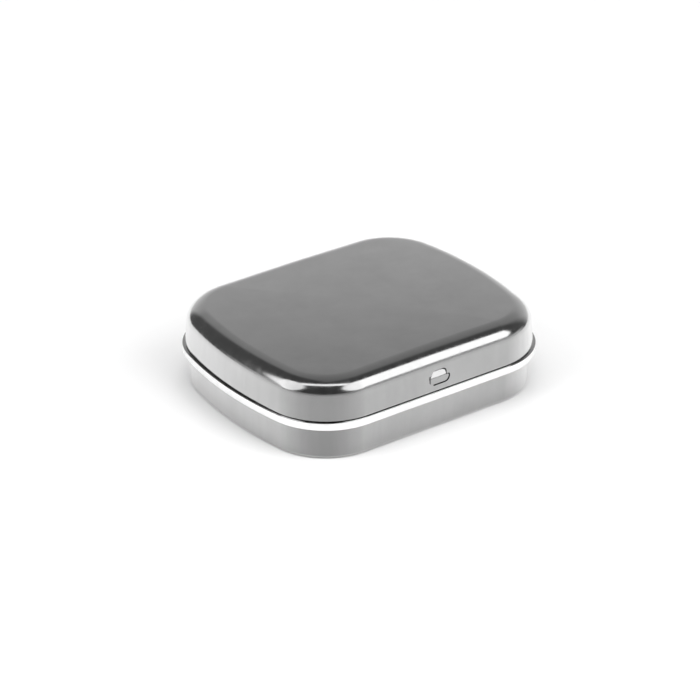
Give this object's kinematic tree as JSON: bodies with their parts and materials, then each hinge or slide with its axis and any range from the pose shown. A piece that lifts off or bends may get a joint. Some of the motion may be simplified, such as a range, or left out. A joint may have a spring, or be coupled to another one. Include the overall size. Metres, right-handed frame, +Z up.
{
  "type": "mint tin",
  "caption": "Shut hinged pocket tin for mints in bright tinplate: a domed lid over a tapered base, with a rolled bead round the seam and a hinge tongue in a window.",
  "frame": {"origin": "middle of the flat foot, on the surface that the tin stands on", "axes": "+X along the tin's long side, -Y towards the side with the hinge tongue, +Z up"},
  "size_m": [0.062, 0.0508, 0.0165],
  "materials": {
    "lid_tinplate": "bright rolled tinplate, near mirror with a fine grain",
    "base_tinplate": "bright rolled tinplate, near mirror with a fine grain"
  },
  "bodies": {
    "root": {"lid": "lid_tinplate", "base": "base_tinplate"}
  },
  "joints": []
}
